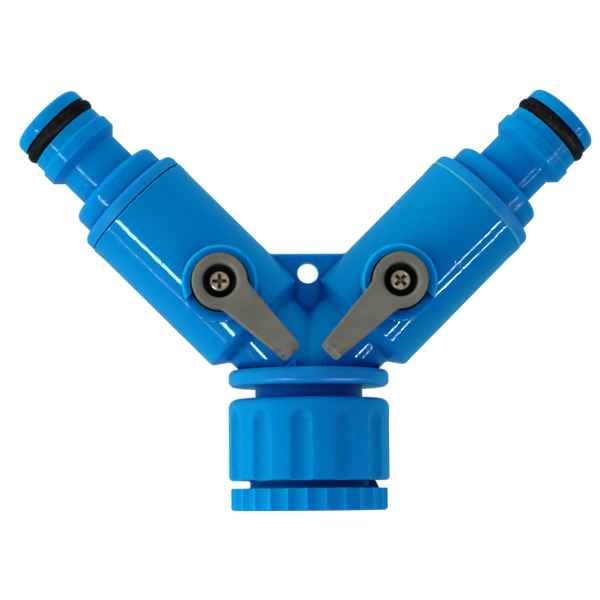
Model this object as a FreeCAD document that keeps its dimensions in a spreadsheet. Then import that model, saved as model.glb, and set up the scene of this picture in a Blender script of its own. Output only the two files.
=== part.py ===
import FreeCAD, Part
import math
import os
import Sketcher
from FreeCAD import Placement, Rotation, Vector

# A hose splitter: one moulded Y body with a swivel nut and a thread adaptor on its inlet, and a ball
# valve and a quick-coupling nipple on each of its two outlets.
#
# Frame: the origin is the middle of the inlet's mouth, on the inlet's axis. +Z runs up the inlet
# towards the fork, +X is to the right and the viewer, with the levers, is at -Y. Millimetres.
# The two arms leave the point where the waterways meet, at the same angle either side of +Z. A
# "station" is a distance from that point along an arm. A valve's "height" is a distance from the
# arm's axis towards the viewer.

SIZES = {
    # Thread adaptor: a scalloped ring, a male thread above it and a female one inside it
    "ring_radius": 15.87,
    "ring_height": 4.5,
    "ring_round": 1.15,
    "scallop_count": 26,
    "scallop_depth": 0.6,
    "adaptor_turned": -3.5,
    "male_radius": 12.6,
    "male_length": 10.27,
    "male_lead": 0.6,
    "socket_radius": 9.315,
    "socket_depth": 8.8,
    "undercut_radius": 9.8,
    "washer_seat_depth": 10.8,
    "adaptor_bore_radius": 6.5,
    "adaptor_washer_thickness": 1.6,
    "washer_fit": 0.1,
    # Washer between the adaptor and the tail
    "inlet_washer_thickness": 1.5,
    "inlet_washer_margin": 0.8,
    "inlet_washer_bore": 7.6,
    # Swivel nut
    "nut_radius": 16.15,
    "nut_top_round": 1.8,
    "nut_bottom_round": 0.8,
    "nut_lip": 3.0,
    "nut_play": 0.1,
    "nut_travel": 2.4,
    "thread_exposed": 1.53,
    "thread_fit": 0.1,
    "thread_lead": 0.7,
    "neck_fit": 0.1,
    "flute_count": 12,
    "flute_width": 4.35,
    "flute_depth": 0.75,
    "flute_end_margin": 2.6,
    "nut_turned": -7,
    # Y body: the tail that the nut hangs on, its flange and the fork
    "tail_bore_radius": 7.6,
    "catch_margin": 1.0,
    "catch_step": 0.9,
    "catch_height": 3.0,
    "catch_lead": 0.7,
    "flange_radius": 16.1,
    "flange_thickness": 3.4,
    "flange_round": 1.2,
    "branch_rise": 2.25,
    "branch_angle": 45,
    "pipe_radius": 9.05,
    "pipe_wall": 2.65,
    "barrel_radius": 12.15,
    "barrel_wall": 2.05,
    "barrel_start": 13.1,
    "shoulder_length": 2.24,
    "barrel_mouth": 48.65,
    "barrel_round": 1.1,
    "mouth_flare": 0.17,
    "flare_length": 3.5,
    "mouth_round": 0.25,
    # Web between the barrels, with the hole to hang it by, and two small ribs on the flange
    "web_rise": 24.7,
    "web_thickness": 3.0,
    "web_corner": 2.6,
    "web_edge_round": 0.7,
    "hang_hole_rise": 20.75,
    "hang_hole_radius": 2.1,
    "rib_inner": 2.8,
    "rib_start": 8.5,
    "rib_thickness": 3.5,
    "left_rib_height": 1.45,
    "right_rib_height": 0.6,
    # Valve boss on each barrel: a cup for the lever's hub, whose rim is cut low where the lever swings
    "valve_station": 24.85,
    "boss_radius": 7.5,
    "boss_round": 0.8,
    "cup_radius": 5.8,
    "cup_rise": 1.87,
    "cup_depth": 2.5,
    "stop_depth": 1.3,
    "stop_fit": 0.1,
    # Ball and its two seats
    "waterway_radius": 4.9,
    "ball_radius": 8.0,
    "slot_depth": 2.4,
    "seat_radius": 7.4,
    "seat_fit": 0.05,
    "seat_gap": 0.15,
    "seat_backing": 0.75,
    "seat_thickness": 4.15,
    "seat_bore_extra": 0.2,
    "seat_pocket_depth": 1.8,
    # Stem, its seal and its drive
    "stem_radius": 4.0,
    "stem_fit": 0.05,
    "foot_radius": 5.2,
    "foot_thickness": 1.6,
    "foot_gap": 0.6,
    "foot_play": 0.1,
    "tang_width": 2.8,
    "tang_length": 8.0,
    "tang_fit": 0.1,
    "tang_end_gap": 0.3,
    "stem_ring_section": 1.32,
    "stem_ring_rise": 0.9,
    "stem_groove_width": 1.8,
    "drive_width": 5.0,
    "drive_rise": 2.0,
    "drive_fit": 0.05,
    # Lever
    "hub_clearance": 0.4,
    "hub_gap": 0.2,
    "lever_reach": 20.05,
    "lever_root_width": 7.94,
    "lever_tip_width": 4.2,
    "lever_arm_depth": 3.1,
    "lever_neck_round": 3.5,
    "lever_tip_round": 0.8,
    "lever_edge_round": 0.45,
    "tip_bevel_reach": 1.3,
    "tip_bevel_drop": 1.1,
    "rim_clearance": 0.4,
    "stop_width": 4.6,
    "stop_clearance": 0.25,
    # Lever screw
    "well_radius": 3.24,
    "well_round": 0.95,
    "screw_web": 1.1,
    "screw_head_radius": 2.0,
    "screw_head_height": 1.4,
    "screw_head_round": 0.7,
    "screw_length": 7.8,
    "screw_radius": 1.15,
    "screw_point": 1.2,
    "screw_fit": 0.05,
    "screw_hole_radius": 1.35,
    "pilot_spare": 0.3,
    "cross_length": 3.1,
    "cross_width": 0.75,
    "cross_depth": 0.9,
    "left_cross_turned": 45,
    "right_cross_turned": 0,
    # Outlet nipple: a tube inside the barrel, a collar on its mouth, and the coupling end outside
    "tube_fit": 0.1,
    "collar_thickness": 2.5,
    "collar_round": 1.05,
    "left_seam_gap": 0.3,
    "right_seam_gap": 0.05,
    "step_radius": 10.06,
    "step_length": 4.6,
    "step_round": 1.3,
    "coupling_neck_radius": 6.83,
    "coupling_neck_length": 6.43,
    "coupling_neck_round": 0.8,
    "ridge_radius": 8.5,
    "ridge_length": 2.4,
    "ridge_lead": 0.5,
    "nose_radius": 8.0,
    "land_length": 2.15,
    "nose_length": 2.85,
    "nose_round": 1.4,
    "nose_bore_lead": 0.5,
    "coupling_ring_section": 2.65,
    "coupling_ring_proud": 0.45,
    "coupling_groove_width": 3.1,
    "ring_slack": 0.03,
    # Seal between the nipple's tube and the barrel
    "joint_ring_section": 1.8,
    "joint_ring_inset": 5.0,
    "joint_groove_width": 2.2,
}

SIDES = {"left": -1, "right": 1}

doc = FreeCAD.newDocument("hose_splitter")
sheet = doc.addObject("Spreadsheet::Sheet", "dims")
for row, (name, size) in enumerate(SIZES.items(), start=1):
    sheet.set(f"A{row}", name)
    sheet.set(f"B{row}", str(size))
    sheet.setAlias(f"B{row}", name)
doc.recompute()

# Places worked out from the sizes, as expressions on the sheet's cells.
# Up the inlet's axis:
ADAPTOR_TOP = "(dims.ring_height + dims.male_length)"
NUT_BOTTOM = "(dims.ring_height + dims.thread_exposed)"
TAIL_BOTTOM = f"({ADAPTOR_TOP} + dims.inlet_washer_thickness)"
CATCH_TOP = f"({TAIL_BOTTOM} + dims.catch_height)"
NUT_LIP_BOTTOM = f"({CATCH_TOP} + dims.nut_play)"
NUT_TOP = f"({NUT_LIP_BOTTOM} + dims.nut_lip)"
NUT_BORE = "(dims.male_radius + dims.thread_fit)"
WASHER_RADIUS = f"({NUT_BORE} - dims.inlet_washer_margin)"
CATCH_RADIUS = f"({NUT_BORE} - dims.catch_margin)"
NECK_RADIUS = f"({CATCH_RADIUS} - dims.catch_step)"
FLANGE_BOTTOM = f"({NUT_TOP} + dims.nut_travel)"
FLANGE_TOP = f"({FLANGE_BOTTOM} + dims.flange_thickness)"
BRANCH = f"({FLANGE_BOTTOM} + dims.branch_rise)"
# Along an arm:
BARREL_FULL = "(dims.barrel_start + dims.shoulder_length)"
CHAMBER_RADIUS = "(dims.barrel_radius - dims.barrel_wall)"
PIPE_BORE = "(dims.pipe_radius - dims.pipe_wall)"
SEAT_BACK = "(dims.ball_radius + dims.seat_backing)"
SEAT_FRONT = f"({SEAT_BACK} - dims.seat_thickness)"
POCKET_MOUTH = f"({SEAT_BACK} - dims.seat_pocket_depth)"
POCKET_RADIUS = "(dims.seat_radius + dims.seat_fit)"
# Up a valve's axis, from the arm's axis:
SLOT_FLOOR = "(dims.ball_radius - dims.slot_depth)"
FOOT_BOTTOM = "(dims.ball_radius + dims.foot_gap)"
FOOT_TOP = f"({FOOT_BOTTOM} + dims.foot_thickness)"
RECESS_ROOF = f"({FOOT_TOP} + dims.foot_play)"
STEM_GROOVE = f"({RECESS_ROOF} + dims.stem_ring_rise)"
CUP_FLOOR = "(dims.barrel_radius + dims.cup_rise)"
BOSS_FACE = f"({CUP_FLOOR} + dims.cup_depth)"
LOW_RIM = f"({BOSS_FACE} - dims.stop_depth)"
DRIVE_TOP = f"({CUP_FLOOR} + dims.drive_rise)"
SCREW_SEAT = f"({DRIVE_TOP} + dims.screw_web)"
SCREW_TIP = f"({SCREW_SEAT} - dims.screw_length)"
HUB_RADIUS = "(dims.cup_radius - dims.hub_clearance)"
HUB_BOTTOM = f"({CUP_FLOOR} + dims.hub_gap)"
ARM_BOTTOM = f"({BOSS_FACE} + dims.rim_clearance)"
LEVER_TOP = f"({ARM_BOTTOM} + dims.lever_arm_depth)"
# Round seals: the ring's section centre and the floor of its groove
STEM_RING_CENTRE = "(dims.stem_radius - dims.ring_slack - dims.stem_ring_section / 2)"
STEM_GROOVE_FLOOR = "(dims.stem_radius - 2 * dims.ring_slack - dims.stem_ring_section)"
JOINT_RING_CENTRE = f"({CHAMBER_RADIUS} - dims.ring_slack - dims.joint_ring_section / 2)"
JOINT_GROOVE_FLOOR = f"({CHAMBER_RADIUS} - 2 * dims.ring_slack - dims.joint_ring_section)"
JOINT_RING_STATION = "(dims.barrel_mouth - dims.joint_ring_inset)"
COUPLING_RING_CENTRE = "(dims.nose_radius + dims.coupling_ring_proud - dims.coupling_ring_section / 2)"
COUPLING_GROOVE_FLOOR = f"({COUPLING_RING_CENTRE} - dims.coupling_ring_section / 2 - dims.ring_slack)"
# Stations of the coupling end, from the barrel's mouth outwards
COLLAR_FACE = "(dims.barrel_mouth + dims.collar_thickness)"
STEP_FACE = f"({COLLAR_FACE} + dims.step_length)"
NECK_END = f"({STEP_FACE} + dims.coupling_neck_length)"
RIDGE_START = f"({NECK_END} + dims.ridge_radius - dims.coupling_neck_radius)"
RIDGE_END = f"({RIDGE_START} + dims.ridge_length)"
LAND_START = f"({RIDGE_END} + dims.ridge_lead)"
GROOVE_START = f"({LAND_START} + dims.land_length)"
GROOVE_END = f"({GROOVE_START} + dims.coupling_groove_width)"
NIPPLE_TIP = f"({GROOVE_END} + dims.nose_length)"
TUBE_END = f"(dims.valve_station + {POCKET_MOUTH})"
TUBE_RADIUS = f"({CHAMBER_RADIUS} - dims.tube_fit)"


def number(expression):
    """The value of an expression on the sheet's cells."""
    return float(sheet.evalExpression(str(expression)))


def new_body(name):
    body = doc.addObject("PartDesign::Body", name)
    body.Label = name
    return body


def sketch_on(body, role, shift=("0", "0", "0"), turned="0", flipped=False):
    """A sketch on one of the body's own origin planes, shifted in and off it and turned about its normal."""
    sketch = body.newObject("Sketcher::SketchObject", f"{body.Name}_sketch")
    plane = next(feature for feature in body.Origin.OriginFeatures if feature.Role == role)
    sketch.AttachmentSupport = [(plane, "")]
    sketch.MapMode = "FlatFace"
    if flipped:
        sketch.AttachmentOffset = Placement(Vector(), Rotation(Vector(1, 0, 0), 180))
    else:
        sketch.AttachmentOffset = Placement(Vector(), Rotation(Vector(0, 0, 1), number(turned)))
        sketch.setExpression("AttachmentOffset.Rotation.Angle", turned)
    for axis, distance in zip("xyz", shift):
        sketch.setExpression(f"AttachmentOffset.Base.{axis}", distance)
    return sketch


def pin_point(rules, bound, geometry, end, across, up):
    """Holds one point of a sketch at two distances from the sketch's origin."""
    for kind, distance, axis in (("DistanceX", across, -2), ("DistanceY", up, -1)):
        if distance == "0":
            rules.append(Sketcher.Constraint("PointOnObject", geometry, end, axis))
            continue
        bound[len(rules)] = distance
        rules.append(Sketcher.Constraint(kind, -1, 1, geometry, end, number(distance)))


def corner_arc(before, corner, after, radius):
    """Where a rounded corner's arc touches its two sides, the arc's centre, and whether it turns left."""
    back = (before - corner).normalize()
    onward = (after - corner).normalize()
    half_angle = back.getAngle(onward) / 2
    setback = radius / math.tan(half_angle)
    centre = corner + (back + onward).normalize() * (radius / math.sin(half_angle))
    turns_left = back.cross(onward).z < 0
    return corner + back * setback, corner + onward * setback, centre, turns_left


def outline(sketch, corners):
    """A closed outline through the corners. A corner is (across, up), or (across, up, rounding)."""
    points = [Vector(number(corner[0]), number(corner[1]), 0) for corner in corners]
    count = len(points)
    arcs = {}
    for index, corner in enumerate(corners):
        if len(corner) == 3:
            after = points[(index + 1) % count]
            arcs[index] = corner_arc(points[index - 1], points[index], after, number(corner[2]))
    starts = [arcs[index][1] if index in arcs else point for index, point in enumerate(points)]
    ends = [arcs[index][0] if index in arcs else point for index, point in enumerate(points)]
    sides = [Part.LineSegment(starts[index], ends[(index + 1) % count]) for index in range(count)]
    sketch.addGeometry(sides, False)
    rules = []
    bound = {}
    for index, corner in enumerate(corners):
        side_before = (index - 1) % count
        if index not in arcs:
            rules.append(Sketcher.Constraint("Coincident", side_before, 2, index, 1))
            pin_point(rules, bound, index, 1, corner[0], corner[1])
            continue
        touch_before, touch_after, centre, turns_left = arcs[index]
        first, last = (touch_before, touch_after) if turns_left else (touch_after, touch_before)
        angles = [math.atan2(point.y - centre.y, point.x - centre.x) for point in (first, last)]
        circle = Part.Circle(centre, Vector(0, 0, 1), number(corner[2]))
        arc = sketch.addGeometry(Part.ArcOfCircle(circle, *angles), False)
        sharp = sketch.addGeometry(Part.Point(points[index]), True)
        start_end, finish_end = (1, 2) if turns_left else (2, 1)
        rules.append(Sketcher.Constraint("Tangent", side_before, 2, arc, start_end))
        rules.append(Sketcher.Constraint("Tangent", arc, finish_end, index, 1))
        bound[len(rules)] = corner[2]
        rules.append(Sketcher.Constraint("Radius", arc, number(corner[2])))
        pin_point(rules, bound, sharp, 1, corner[0], corner[1])
        rules.append(Sketcher.Constraint("PointOnObject", sharp, 1, side_before))
        rules.append(Sketcher.Constraint("PointOnObject", sharp, 1, index))
    sketch.addConstraint(rules)
    for index, expression in bound.items():
        sketch.setExpression(f"Constraints[{index}]", expression)


def circle_in(sketch, radius, across="0", up="0"):
    centre = Vector(number(across), number(up), 0)
    circle = sketch.addGeometry(Part.Circle(centre, Vector(0, 0, 1), number(radius)), False)
    rules = []
    bound = {0: radius}
    rules.append(Sketcher.Constraint("Radius", circle, number(radius)))
    pin_point(rules, bound, circle, 3, across, up)
    sketch.addConstraint(rules)
    for index, expression in bound.items():
        sketch.setExpression(f"Constraints[{index}]", expression)


def box_corners(half_across, half_up):
    """Corners of a rectangle about the sketch's origin."""
    return [
        (f"-{half_across}", f"-{half_up}"),
        (half_across, f"-{half_up}"),
        (half_across, half_up),
        (f"-{half_across}", half_up),
    ]


def finish_feature(body, feature, cuts):
    """Works the feature out, and stops if it failed or left the body's volume as it was."""
    before = 0 if body.Shape.isNull() else body.Shape.Volume
    doc.recompute()
    if not feature.isValid() or body.Shape.isNull():
        raise RuntimeError(f"{body.Label}: {feature.Name} failed")
    change = body.Shape.Volume - before
    if (change > -0.001) if cuts else (change < 0.001):
        raise RuntimeError(f"{body.Label}: {feature.Name} has no effect")
    return feature


def revolved(body, corners, cuts=False, **sketch_place):
    """Turns an outline of (radius, along) corners about its own upright axis, as a solid or a cut."""
    doc.recompute()
    sketch = sketch_on(body, **({"role": "XZ_Plane"} | sketch_place))
    outline(sketch, corners)
    kind = "PartDesign::Groove" if cuts else "PartDesign::Revolution"
    feature = body.newObject(kind, f"{body.Name}_turned")
    feature.Profile = sketch
    feature.ReferenceAxis = (sketch, ["V_Axis"])
    feature.Angle = 360
    return finish_feature(body, feature, cuts)


def extruded(body, draw, length, cuts=False, both_ways=False, backwards=False, **sketch_place):
    """Pads, or cuts, what draw puts into a new sketch."""
    doc.recompute()
    sketch = sketch_on(body, **({"role": "XY_Plane"} | sketch_place))
    draw(sketch)
    kind = "PartDesign::Pocket" if cuts else "PartDesign::Pad"
    feature = body.newObject(kind, f"{body.Name}_extruded")
    feature.Profile = sketch
    feature.SideType = "Symmetric" if both_ways else "One side"
    feature.Reversed = backwards
    feature.setExpression("Length", length)
    return finish_feature(body, feature, cuts)


def repeated(body, feature, count):
    """Repeats a cut round the body's own Z axis."""
    pattern = body.newObject("PartDesign::PolarPattern", f"{body.Name}_pattern")
    pattern.Originals = [feature]
    axis = next(item for item in body.Origin.OriginFeatures if item.Role == "Z_Axis")
    pattern.Axis = (axis, [""])
    pattern.Angle = 360
    pattern.setExpression("Occurrences", count)
    body.Tip = pattern
    return finish_feature(body, pattern, cuts=True)


def rounded(body, is_chosen, radius):
    """Rounds those edges of the body that is_chosen picks by their middle point and the edge itself."""
    names = []
    for index, edge in enumerate(body.Shape.Edges, start=1):
        middle = edge.valueAt((edge.FirstParameter + edge.LastParameter) / 2)
        if is_chosen(middle, edge):
            names.append(f"Edge{index}")
    sharp = body.Tip
    fillet = body.newObject("PartDesign::Fillet", f"{body.Name}_rounding")
    fillet.Base = (sharp, names)
    fillet.setExpression("Radius", radius)
    doc.recompute()
    if not names or not fillet.isValid():
        raise RuntimeError(f"{body.Label}: nothing was rounded")
    return fillet


def near(value, expression):
    return abs(value - number(expression)) < 0.01


def arm_place(side, station="0"):
    """A frame on an arm's axis, its Z pointing out along the arm."""
    lean = math.radians(number("dims.branch_angle"))
    distance = number(station)
    base = Vector(side * distance * math.sin(lean), 0, number(BRANCH) + distance * math.cos(lean))
    return Placement(base, Rotation(Vector(0, 1, 0), side * number("dims.branch_angle")))


def nipple_place(name, station="0"):
    """The arm's frame, moved out by the gap that the nipple's collar leaves at the barrel's mouth."""
    return arm_place(SIDES[name], f"{station} + dims.{name}_seam_gap")


def valve_place(side):
    """A frame at a ball's centre: X towards the fork, as the open lever points, and Z to the viewer."""
    base = arm_place(side, "dims.valve_station").Base
    swing = Rotation(Vector(0, 1, 0), 90 + side * number("dims.branch_angle"))
    return Placement(base, swing * Rotation(Vector(1, 0, 0), 90))


def y_body():
    body = new_body("y_body")
    web(body)
    revolved(body, [
        ("0", TAIL_BOTTOM),
        (f"{CATCH_RADIUS} - dims.catch_lead", TAIL_BOTTOM),
        (CATCH_RADIUS, f"{TAIL_BOTTOM} + dims.catch_lead"),
        (CATCH_RADIUS, CATCH_TOP),
        (NECK_RADIUS, CATCH_TOP),
        (NECK_RADIUS, FLANGE_BOTTOM),
        ("dims.flange_radius", FLANGE_BOTTOM, "dims.flange_round"),
        ("dims.flange_radius", FLANGE_TOP, "dims.flange_round"),
        ("0", FLANGE_TOP),
    ])
    for side in SIDES.values():
        arm_outside(body, side)
    for side in SIDES.values():
        boss_outside(body, side)
    for name, side in SIDES.items():
        flange_rib(body, side, f"dims.{name}_rib_height")
    revolved(body, [
        ("0", f"{TAIL_BOTTOM} - 1"),
        ("dims.tail_bore_radius", f"{TAIL_BOTTOM} - 1"),
        ("dims.tail_bore_radius", BRANCH),
        ("0", BRANCH),
    ], cuts=True)
    for side in SIDES.values():
        waterway(body, side)
        boss_inside(body, side)
        lever_sweep(body, side)
    extruded(
        body, lambda sketch: circle_in(sketch, "dims.hang_hole_radius"), "2 * dims.web_thickness",
        cuts=True, both_ways=True, role="XZ_Plane", shift=("0", f"{BRANCH} + dims.hang_hole_rise", "0"),
    )
    return body


def arm_sketch_place(side):
    """Puts a sketch's upright axis on an arm's axis."""
    return {"shift": ("0", BRANCH, "0"), "turned": f"{-side} * dims.branch_angle"}


def arm_outside(body, side):
    mouth_radius = "dims.barrel_radius + dims.mouth_flare"
    revolved(body, [
        ("0", "0"),
        ("dims.pipe_radius", "0"),
        ("dims.pipe_radius", "dims.barrel_start", "dims.barrel_round"),
        ("dims.barrel_radius", BARREL_FULL, "dims.barrel_round"),
        ("dims.barrel_radius", "dims.barrel_mouth - dims.flare_length"),
        (mouth_radius, "dims.barrel_mouth", "dims.mouth_round"),
        ("0", "dims.barrel_mouth"),
    ], **arm_sketch_place(side))


def web(body):
    """A plate in the fork. Its top corners run up the barrels, so its sketch follows the barrels' sides."""
    overlap = "(dims.barrel_radius - 0.2)"
    run = "2.5"
    inner = f"(dims.web_rise * tan(dims.branch_angle) - {overlap} / cos(dims.branch_angle))"
    outer = f"({inner} + {run} * tan(dims.branch_angle))"
    corners = [
        ("0", "0"),
        (outer, f"dims.web_rise + {run}"),
        (inner, "dims.web_rise", "dims.web_corner"),
        (f"-{inner}", "dims.web_rise", "dims.web_corner"),
        (f"-{outer}", f"dims.web_rise + {run}"),
    ]
    extruded(
        body, lambda sketch: outline(sketch, corners), "dims.web_thickness",
        both_ways=True, role="XZ_Plane", shift=("0", BRANCH, "0"),
    )
    top = f"{BRANCH} + dims.web_rise"
    rounded(body, lambda middle, edge: near(middle.z, top) and abs(middle.y) > 1, "dims.web_edge_round")


def valve_sketch_place(side):
    """Puts a sketch's upright axis on a valve's axis, with up towards the viewer."""
    across = f"{side} * dims.valve_station * sin(dims.branch_angle)"
    rise = f"{BRANCH} + dims.valve_station * cos(dims.branch_angle)"
    return {"role": "XY_Plane", "shift": (across, "0", rise), "flipped": True}


def boss_outside(body, side):
    revolved(body, [
        ("0", CHAMBER_RADIUS),
        ("dims.boss_radius", CHAMBER_RADIUS),
        ("dims.boss_radius", BOSS_FACE, "dims.boss_round"),
        ("0", BOSS_FACE),
    ], **valve_sketch_place(side))


def flange_rib(body, side, height):
    """A three-cornered rib on the flange, in front of the pipe, that climbs towards the middle."""
    foot = f"({FLANGE_TOP} - 0.5)"
    peak = f"({FLANGE_TOP} + {height})"
    inner = f"({side} * dims.rib_inner)"
    outer = f"({side} * (dims.rib_inner + 1.5 * {height}))"
    crest = f"({side} * (dims.rib_inner + 0.3 * {height}))"
    corners = [(inner, foot), (outer, foot), (outer, FLANGE_TOP), (crest, peak), (inner, peak)]
    extruded(
        body, lambda sketch: outline(sketch, corners), "dims.rib_thickness",
        role="XZ_Plane", shift=("0", "0", "dims.rib_start"),
    )


def waterway(body, side):
    """The bore along an arm: the pipe, the inner seat's pocket and the valve chamber, open at the mouth."""
    pocket_floor = f"dims.valve_station - {SEAT_BACK}"
    chamber_floor = f"dims.valve_station - {POCKET_MOUTH}"
    revolved(body, [
        ("0", "0"),
        (PIPE_BORE, "0"),
        (PIPE_BORE, pocket_floor),
        (POCKET_RADIUS, pocket_floor),
        (POCKET_RADIUS, chamber_floor),
        (CHAMBER_RADIUS, chamber_floor),
        (CHAMBER_RADIUS, "dims.barrel_mouth + 1"),
        ("0", "dims.barrel_mouth + 1"),
    ], cuts=True, **arm_sketch_place(side))


def boss_inside(body, side):
    """The stem's foot recess, its bore and the cup for the lever's hub."""
    recess = "dims.foot_radius + dims.foot_play"
    bore = "dims.stem_radius + dims.stem_fit"
    revolved(body, [
        ("0", SLOT_FLOOR),
        (recess, SLOT_FLOOR),
        (recess, RECESS_ROOF),
        (bore, RECESS_ROOF),
        (bore, CUP_FLOOR),
        ("dims.cup_radius", CUP_FLOOR),
        ("dims.cup_radius", f"{BOSS_FACE} + 1"),
        ("0", f"{BOSS_FACE} + 1"),
    ], cuts=True, **valve_sketch_place(side))


def lever_sweep(body, side):
    """Cuts the rim low over the quarter turn of the lever. The cut's two ends stop the lever."""
    stop = "(dims.stop_width / 2 + dims.stop_fit)"
    reach = "(dims.boss_radius + 1)"
    low, high = (f"-{stop}", reach) if side > 0 else (f"-{reach}", stop)
    corners = [(f"-{stop}", low), (reach, low), (reach, high), (f"-{stop}", high)]
    across = f"{side} * dims.valve_station * sin(dims.branch_angle)"
    rise = f"{BRANCH} + dims.valve_station * cos(dims.branch_angle)"
    extruded(
        body, lambda sketch: outline(sketch, corners), "dims.stop_depth + 1", cuts=True,
        role="XZ_Plane", shift=(across, rise, f"{BOSS_FACE} + 1"),
        turned=f"270 - {side} * dims.branch_angle",
    )


def swivel_nut():
    body = new_body("swivel_nut")
    lip_bore = f"{NECK_RADIUS} + dims.neck_fit"
    revolved(body, [
        (lip_bore, NUT_LIP_BOTTOM),
        (NUT_BORE, NUT_LIP_BOTTOM),
        (NUT_BORE, f"{NUT_BOTTOM} + dims.thread_lead"),
        (f"{NUT_BORE} + dims.thread_lead", NUT_BOTTOM),
        ("dims.nut_radius", NUT_BOTTOM, "dims.nut_bottom_round"),
        ("dims.nut_radius", NUT_TOP, "dims.nut_top_round"),
        (lip_bore, NUT_TOP),
    ])
    half = "(dims.flute_width / 2)"
    radius = f"(({half} ^ 2 + dims.flute_depth ^ 2) / (2 * dims.flute_depth))"
    centre = f"(sqrt(dims.nut_radius ^ 2 - {half} ^ 2) - dims.flute_depth + {radius})"
    crown = f"({NUT_TOP} - dims.flute_end_margin - {half} + {radius})"
    flute = revolved(body, [
        ("0", f"{NUT_BOTTOM} - 1"),
        (radius, f"{NUT_BOTTOM} - 1"),
        (radius, crown, f"0.999 * {radius}"),
        ("0", crown),
    ], cuts=True, shift=(centre, "0", "0"))
    repeated(body, flute, "dims.flute_count")
    body.Placement = Placement(Vector(), Rotation(Vector(0, 0, 1), number("dims.nut_turned")))
    return body


def thread_adaptor():
    body = new_body("thread_adaptor")
    blank = "dims.ring_radius + 0.2"
    revolved(body, [
        ("dims.socket_radius", "0"),
        (blank, "0", "dims.ring_round"),
        (blank, "dims.ring_height"),
        ("dims.male_radius", "dims.ring_height"),
        ("dims.male_radius", f"{ADAPTOR_TOP} - dims.male_lead"),
        ("dims.male_radius - dims.male_lead", ADAPTOR_TOP),
        ("dims.adaptor_bore_radius", ADAPTOR_TOP),
        ("dims.adaptor_bore_radius", "dims.washer_seat_depth"),
        ("dims.undercut_radius", "dims.washer_seat_depth"),
        ("dims.undercut_radius", "dims.socket_depth"),
        ("dims.socket_radius", "dims.socket_depth"),
    ])
    half_step = "(180 / dims.scallop_count)"
    half = f"(dims.ring_radius * sin({half_step}))"
    radius = f"(({half} ^ 2 + dims.scallop_depth ^ 2) / (2 * dims.scallop_depth))"
    centre = f"(dims.ring_radius * cos({half_step}) - dims.scallop_depth + {radius})"
    scallop = extruded(
        body, lambda sketch: circle_in(sketch, radius, centre), "dims.ring_height + 1",
        cuts=True, backwards=True,
    )
    repeated(body, scallop, "dims.scallop_count")
    body.Placement = Placement(Vector(), Rotation(Vector(0, 0, 1), number("dims.adaptor_turned")))
    return body


def flat_washer(name, bore, radius, bottom, thickness):
    body = new_body(name)
    top = f"{bottom} + {thickness}"
    revolved(body, [(bore, bottom), (radius, bottom), (radius, top), (bore, top)])
    return body


def outlet_nipple(name):
    body = new_body(f"{name}_outlet_nipple")
    pocket_floor = f"dims.valve_station + {SEAT_BACK}"
    groove_low = f"{JOINT_RING_STATION} - dims.joint_groove_width / 2"
    groove_high = f"{JOINT_RING_STATION} + dims.joint_groove_width / 2"
    revolved(body, [
        (POCKET_RADIUS, TUBE_END),
        (TUBE_RADIUS, TUBE_END),
        (TUBE_RADIUS, groove_low),
        (JOINT_GROOVE_FLOOR, groove_low),
        (JOINT_GROOVE_FLOOR, groove_high),
        (TUBE_RADIUS, groove_high),
        (TUBE_RADIUS, "dims.barrel_mouth"),
        ("dims.barrel_radius", "dims.barrel_mouth"),
        ("dims.barrel_radius", COLLAR_FACE, "dims.collar_round"),
        ("dims.step_radius", COLLAR_FACE),
        ("dims.step_radius", STEP_FACE, "dims.step_round"),
        ("dims.coupling_neck_radius", STEP_FACE, "dims.coupling_neck_round"),
        ("dims.coupling_neck_radius", NECK_END),
        ("dims.ridge_radius", RIDGE_START),
        ("dims.ridge_radius", RIDGE_END),
        ("dims.nose_radius", LAND_START),
        ("dims.nose_radius", GROOVE_START),
        (COUPLING_GROOVE_FLOOR, GROOVE_START),
        (COUPLING_GROOVE_FLOOR, GROOVE_END),
        ("dims.nose_radius", GROOVE_END),
        ("dims.nose_radius", NIPPLE_TIP, "dims.nose_round"),
        ("dims.waterway_radius + dims.nose_bore_lead", NIPPLE_TIP),
        ("dims.waterway_radius", f"{NIPPLE_TIP} - dims.nose_bore_lead"),
        ("dims.waterway_radius", pocket_floor),
        (POCKET_RADIUS, pocket_floor),
    ])
    body.Placement = nipple_place(name)
    return body


def seal_ring(name, centre_radius, section, placement):
    ring = doc.addObject("Part::Torus", name)
    ring.Label = name
    ring.setExpression("Radius1", centre_radius)
    ring.setExpression("Radius2", f"{section} / 2")
    ring.Placement = placement
    return ring


def cylinder_tool(name, radius, length, placement):
    tool = doc.addObject("Part::Cylinder", name)
    tool.setExpression("Radius", radius)
    tool.setExpression("Height", length)
    tool.Placement = placement
    return tool


def sphere_tool(name, radius):
    tool = doc.addObject("Part::Sphere", name)
    tool.setExpression("Radius", radius)
    return tool


def cut_away(name, base, tool):
    result = doc.addObject("Part::Cut", name)
    result.Base = base
    result.Tool = tool
    result.Label = name
    return result


def valve_ball(name, side):
    """A ball with its port along X and, across the port, the slot for the stem's tang."""
    node = f"{name}_ball"
    along_x = Rotation(Vector(0, 1, 0), 90)
    radius = number("dims.ball_radius")
    ball = sphere_tool(f"{node}_sphere", "dims.ball_radius")
    port = cylinder_tool(
        f"{node}_port", "dims.waterway_radius", "2 * dims.ball_radius", Placement(Vector(-radius, 0, 0), along_x),
    )
    slot = doc.addObject("Part::Box", f"{node}_slot")
    slot.setExpression("Length", "dims.tang_width + 2 * dims.tang_fit")
    slot.setExpression("Width", "2 * dims.ball_radius")
    slot.setExpression("Height", "dims.slot_depth + 1")
    half_slot = number("dims.tang_width / 2 + dims.tang_fit")
    slot.Placement = Placement(Vector(-half_slot, -radius, number(SLOT_FLOOR)), Rotation())
    ported = cut_away(f"{node}_ported", ball, port)
    result = cut_away(node, ported, slot)
    result.Placement = valve_place(side)
    return result


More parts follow.
